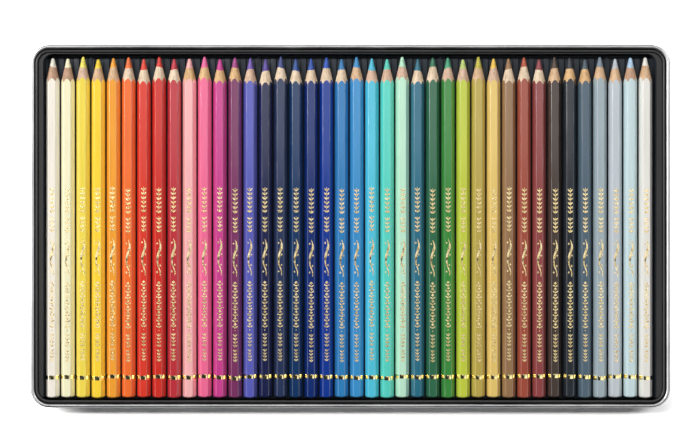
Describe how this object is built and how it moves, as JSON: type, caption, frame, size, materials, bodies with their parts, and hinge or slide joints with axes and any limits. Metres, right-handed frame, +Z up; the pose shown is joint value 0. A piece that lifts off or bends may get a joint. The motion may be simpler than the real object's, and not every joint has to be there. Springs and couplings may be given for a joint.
{
  "type": "coloured pencil tin",
  "caption": "Flat open metal tin with a rolled rim, standing in its upturned lid, holding a row of sharpened hexagonal coloured pencils in a grooved tray.",
  "frame": {"origin": "middle of the face that the tin stands on, the outside of the upturned lid", "axes": "+X along the row of pencils from ivory to white, +Y along each pencil towards its point, +Z up"},
  "size_m": [0.3258, 0.1848, 0.0126],
  "materials": {
    "silver_tinplate": "satin silver-lacquered tinplate",
    "black_lacquer": "semi-gloss black lacquer on tinplate",
    "tray_plastic": "thermoformed sheet with a soft sheen",
    "lacquer_01_ivory": "gloss lacquer over pencil cedar",
    "lacquer_02_cream": "gloss lacquer over pencil cedar",
    "lacquer_03_lemon": "gloss lacquer over pencil cedar",
    "lacquer_04_yellow": "gloss lacquer over pencil cedar",
    "lacquer_05_golden": "gloss lacquer over pencil cedar",
    "lacquer_06_orange": "gloss lacquer over pencil cedar",
    "lacquer_07_vermilion": "gloss lacquer over pencil cedar",
    "lacquer_08_scarlet": "gloss lacquer over pencil cedar",
    "lacquer_09_carmine": "gloss lacquer over pencil cedar",
    "lacquer_10_salmon": "gloss lacquer over pencil cedar",
    "lacquer_11_pink": "gloss lacquer over pencil cedar",
    "lacquer_12_magenta": "gloss lacquer over pencil cedar",
    "lacquer_13_plum": "gloss lacquer over pencil cedar",
    "lacquer_14_violet": "gloss lacquer over pencil cedar",
    "lacquer_15_night_violet": "gloss lacquer over pencil cedar",
    "lacquer_16_indigo": "gloss lacquer over pencil cedar",
    "lacquer_17_prussian": "gloss lacquer over pencil cedar",
    "lacquer_18_ultramarine": "gloss lacquer over pencil cedar",
    "lacquer_19_royal_blue": "gloss lacquer over pencil cedar",
    "lacquer_20_cyan": "gloss lacquer over pencil cedar",
    "lacquer_21_azure": "gloss lacquer over pencil cedar",
    "lacquer_22_turquoise": "gloss lacquer over pencil cedar",
    "lacquer_23_sea_green": "gloss lacquer over pencil cedar",
    "lacquer_24_mint": "gloss lacquer over pencil cedar",
    "lacquer_25_petrol": "gloss lacquer over pencil cedar",
    "lacquer_26_fir_green": "gloss lacquer over pencil cedar",
    "lacquer_27_green": "gloss lacquer over pencil cedar",
    "lacquer_28_lime": "gloss lacquer over pencil cedar",
    "lacquer_29_olive": "gloss lacquer over pencil cedar",
    "lacquer_30_ochre": "gloss lacquer over pencil cedar",
    "lacquer_31_brown": "gloss lacquer over pencil cedar",
    "lacquer_32_rust": "gloss lacquer over pencil cedar",
    "lacquer_33_maroon": "gloss lacquer over pencil cedar",
    "lacquer_34_sepia": "gloss lacquer over pencil cedar",
    "lacquer_35_black": "gloss lacquer over pencil cedar",
    "lacquer_36_slate_blue": "gloss lacquer over pencil cedar",
    "lacquer_37_grey": "gloss lacquer over pencil cedar",
    "lacquer_38_light_grey": "gloss lacquer over pencil cedar",
    "lacquer_39_ice_blue": "gloss lacquer over pencil cedar",
    "lacquer_40_white": "gloss lacquer over pencil cedar"
  },
  "bodies": {
    "lid": {"lid": "silver_tinplate"},
    "tin_base": {"tin_base": "black_lacquer"},
    "pencil_tray": {"pencil_tray": "tray_plastic"},
    "pencil_01": {"pencil_01_ivory": "lacquer_01_ivory"},
    "pencil_02": {"pencil_02_cream": "lacquer_02_cream"},
    "pencil_03": {"pencil_03_lemon": "lacquer_03_lemon"},
    "pencil_04": {"pencil_04_yellow": "lacquer_04_yellow"},
    "pencil_05": {"pencil_05_golden": "lacquer_05_golden"},
    "pencil_06": {"pencil_06_orange": "lacquer_06_orange"},
    "pencil_07": {"pencil_07_vermilion": "lacquer_07_vermilion"},
    "pencil_08": {"pencil_08_scarlet": "lacquer_08_scarlet"},
    "pencil_09": {"pencil_09_carmine": "lacquer_09_carmine"},
    "pencil_10": {"pencil_10_salmon": "lacquer_10_salmon"},
    "pencil_11": {"pencil_11_pink": "lacquer_11_pink"},
    "pencil_12": {"pencil_12_magenta": "lacquer_12_magenta"},
    "pencil_13": {"pencil_13_plum": "lacquer_13_plum"},
    "pencil_14": {"pencil_14_violet": "lacquer_14_violet"},
    "pencil_15": {"pencil_15_night_violet": "lacquer_15_night_violet"},
    "pencil_16": {"pencil_16_indigo": "lacquer_16_indigo"},
    "pencil_17": {"pencil_17_prussian": "lacquer_17_prussian"},
    "pencil_18": {"pencil_18_ultramarine": "lacquer_18_ultramarine"},
    "pencil_19": {"pencil_19_royal_blue": "lacquer_19_royal_blue"},
    "pencil_20": {"pencil_20_cyan": "lacquer_20_cyan"},
    "pencil_21": {"pencil_21_azure": "lacquer_21_azure"},
    "pencil_22": {"pencil_22_turquoise": "lacquer_22_turquoise"},
    "pencil_23": {"pencil_23_sea_green": "lacquer_23_sea_green"},
    "pencil_24": {"pencil_24_mint": "lacquer_24_mint"},
    "pencil_25": {"pencil_25_petrol": "lacquer_25_petrol"},
    "pencil_26": {"pencil_26_fir_green": "lacquer_26_fir_green"},
    "pencil_27": {"pencil_27_green": "lacquer_27_green"},
    "pencil_28": {"pencil_28_lime": "lacquer_28_lime"},
    "pencil_29": {"pencil_29_olive": "lacquer_29_olive"},
    "pencil_30": {"pencil_30_ochre": "lacquer_30_ochre"},
    "pencil_31": {"pencil_31_brown": "lacquer_31_brown"},
    "pencil_32": {"pencil_32_rust": "lacquer_32_rust"},
    "pencil_33": {"pencil_33_maroon": "lacquer_33_maroon"},
    "pencil_34": {"pencil_34_sepia": "lacquer_34_sepia"},
    "pencil_35": {"pencil_35_black": "lacquer_35_black"},
    "pencil_36": {"pencil_36_slate_blue": "lacquer_36_slate_blue"},
    "pencil_37": {"pencil_37_grey": "lacquer_37_grey"},
    "pencil_38": {"pencil_38_light_grey": "lacquer_38_light_grey"},
    "pencil_39": {"pencil_39_ice_blue": "lacquer_39_ice_blue"},
    "pencil_40": {"pencil_40_white": "lacquer_40_white"}
  },
  "joints": [
    {"name": "base_lift", "type": "slide", "parent": "lid", "child": "tin_base", "axis": [0, 0, 1], "range_m": [0, 0.03]},
    {"name": "tray_lift", "type": "slide", "parent": "tin_base", "child": "pencil_tray", "axis": [0, 0, 1], "range_m": [0, 0.025]},
    {"name": "pencil_01_lift", "type": "slide", "parent": "pencil_tray", "child": "pencil_01", "axis": [0, 0, 1], "range_m": [0, 0.03]},
    {"name": "pencil_02_lift", "type": "slide", "parent": "pencil_tray", "child": "pencil_02", "axis": [0, 0, 1], "range_m": [0, 0.03]},
    {"name": "pencil_03_lift", "type": "slide", "parent": "pencil_tray", "child": "pencil_03", "axis": [0, 0, 1], "range_m": [0, 0.03]},
    {"name": "pencil_04_lift", "type": "slide", "parent": "pencil_tray", "child": "pencil_04", "axis": [0, 0, 1], "range_m": [0, 0.03]},
    {"name": "pencil_05_lift", "type": "slide", "parent": "pencil_tray", "child": "pencil_05", "axis": [0, 0, 1], "range_m": [0, 0.03]},
    {"name": "pencil_06_lift", "type": "slide", "parent": "pencil_tray", "child": "pencil_06", "axis": [0, 0, 1], "range_m": [0, 0.03]},
    {"name": "pencil_07_lift", "type": "slide", "parent": "pencil_tray", "child": "pencil_07", "axis": [0, 0, 1], "range_m": [0, 0.03]},
    {"name": "pencil_08_lift", "type": "slide", "parent": "pencil_tray", "child": "pencil_08", "axis": [0, 0, 1], "range_m": [0, 0.03]},
    {"name": "pencil_09_lift", "type": "slide", "parent": "pencil_tray", "child": "pencil_09", "axis": [0, 0, 1], "range_m": [0, 0.03]},
    {"name": "pencil_10_lift", "type": "slide", "parent": "pencil_tray", "child": "pencil_10", "axis": [0, 0, 1], "range_m": [0, 0.03]},
    {"name": "pencil_11_lift", "type": "slide", "parent": "pencil_tray", "child": "pencil_11", "axis": [0, 0, 1], "range_m": [0, 0.03]},
    {"name": "pencil_12_lift", "type": "slide", "parent": "pencil_tray", "child": "pencil_12", "axis": [0, 0, 1], "range_m": [0, 0.03]},
    {"name": "pencil_13_lift", "type": "slide", "parent": "pencil_tray", "child": "pencil_13", "axis": [0, 0, 1], "range_m": [0, 0.03]},
    {"name": "pencil_14_lift", "type": "slide", "parent": "pencil_tray", "child": "pencil_14", "axis": [0, 0, 1], "range_m": [0, 0.03]},
    {"name": "pencil_15_lift", "type": "slide", "parent": "pencil_tray", "child": "pencil_15", "axis": [0, 0, 1], "range_m": [0, 0.03]},
    {"name": "pencil_16_lift", "type": "slide", "parent": "pencil_tray", "child": "pencil_16", "axis": [0, 0, 1], "range_m": [0, 0.03]},
    {"name": "pencil_17_lift", "type": "slide", "parent": "pencil_tray", "child": "pencil_17", "axis": [0, 0, 1], "range_m": [0, 0.03]},
    {"name": "pencil_18_lift", "type": "slide", "parent": "pencil_tray", "child": "pencil_18", "axis": [0, 0, 1], "range_m": [0, 0.03]},
    {"name": "pencil_19_lift", "type": "slide", "parent": "pencil_tray", "child": "pencil_19", "axis": [0, 0, 1], "range_m": [0, 0.03]},
    {"name": "pencil_20_lift", "type": "slide", "parent": "pencil_tray", "child": "pencil_20", "axis": [0, 0, 1], "range_m": [0, 0.03]},
    {"name": "pencil_21_lift", "type": "slide", "parent": "pencil_tray", "child": "pencil_21", "axis": [0, 0, 1], "range_m": [0, 0.03]},
    {"name": "pencil_22_lift", "type": "slide", "parent": "pencil_tray", "child": "pencil_22", "axis": [0, 0, 1], "range_m": [0, 0.03]},
    {"name": "pencil_23_lift", "type": "slide", "parent": "pencil_tray", "child": "pencil_23", "axis": [0, 0, 1], "range_m": [0, 0.03]},
    {"name": "pencil_24_lift", "type": "slide", "parent": "pencil_tray", "child": "pencil_24", "axis": [0, 0, 1], "range_m": [0, 0.03]},
    {"name": "pencil_25_lift", "type": "slide", "parent": "pencil_tray", "child": "pencil_25", "axis": [0, 0, 1], "range_m": [0, 0.03]},
    {"name": "pencil_26_lift", "type": "slide", "parent": "pencil_tray", "child": "pencil_26", "axis": [0, 0, 1], "range_m": [0, 0.03]},
    {"name": "pencil_27_lift", "type": "slide", "parent": "pencil_tray", "child": "pencil_27", "axis": [0, 0, 1], "range_m": [0, 0.03]},
    {"name": "pencil_28_lift", "type": "slide", "parent": "pencil_tray", "child": "pencil_28", "axis": [0, 0, 1], "range_m": [0, 0.03]},
    {"name": "pencil_29_lift", "type": "slide", "parent": "pencil_tray", "child": "pencil_29", "axis": [0, 0, 1], "range_m": [0, 0.03]},
    {"name": "pencil_30_lift", "type": "slide", "parent": "pencil_tray", "child": "pencil_30", "axis": [0, 0, 1], "range_m": [0, 0.03]},
    {"name": "pencil_31_lift", "type": "slide", "parent": "pencil_tray", "child": "pencil_31", "axis": [0, 0, 1], "range_m": [0, 0.03]},
    {"name": "pencil_32_lift", "type": "slide", "parent": "pencil_tray", "child": "pencil_32", "axis": [0, 0, 1], "range_m": [0, 0.03]},
    {"name": "pencil_33_lift", "type": "slide", "parent": "pencil_tray", "child": "pencil_33", "axis": [0, 0, 1], "range_m": [0, 0.03]},
    {"name": "pencil_34_lift", "type": "slide", "parent": "pencil_tray", "child": "pencil_34", "axis": [0, 0, 1], "range_m": [0, 0.03]},
    {"name": "pencil_35_lift", "type": "slide", "parent": "pencil_tray", "child": "pencil_35", "axis": [0, 0, 1], "range_m": [0, 0.03]},
    {"name": "pencil_36_lift", "type": "slide", "parent": "pencil_tray", "child": "pencil_36", "axis": [0, 0, 1], "range_m": [0, 0.03]},
    {"name": "pencil_37_lift", "type": "slide", "parent": "pencil_tray", "child": "pencil_37", "axis": [0, 0, 1], "range_m": [0, 0.03]},
    {"name": "pencil_38_lift", "type": "slide", "parent": "pencil_tray", "child": "pencil_38", "axis": [0, 0, 1], "range_m": [0, 0.03]},
    {"name": "pencil_39_lift", "type": "slide", "parent": "pencil_tray", "child": "pencil_39", "axis": [0, 0, 1], "range_m": [0, 0.03]},
    {"name": "pencil_40_lift", "type": "slide", "parent": "pencil_tray", "child": "pencil_40", "axis": [0, 0, 1], "range_m": [0, 0.03]}
  ]
}
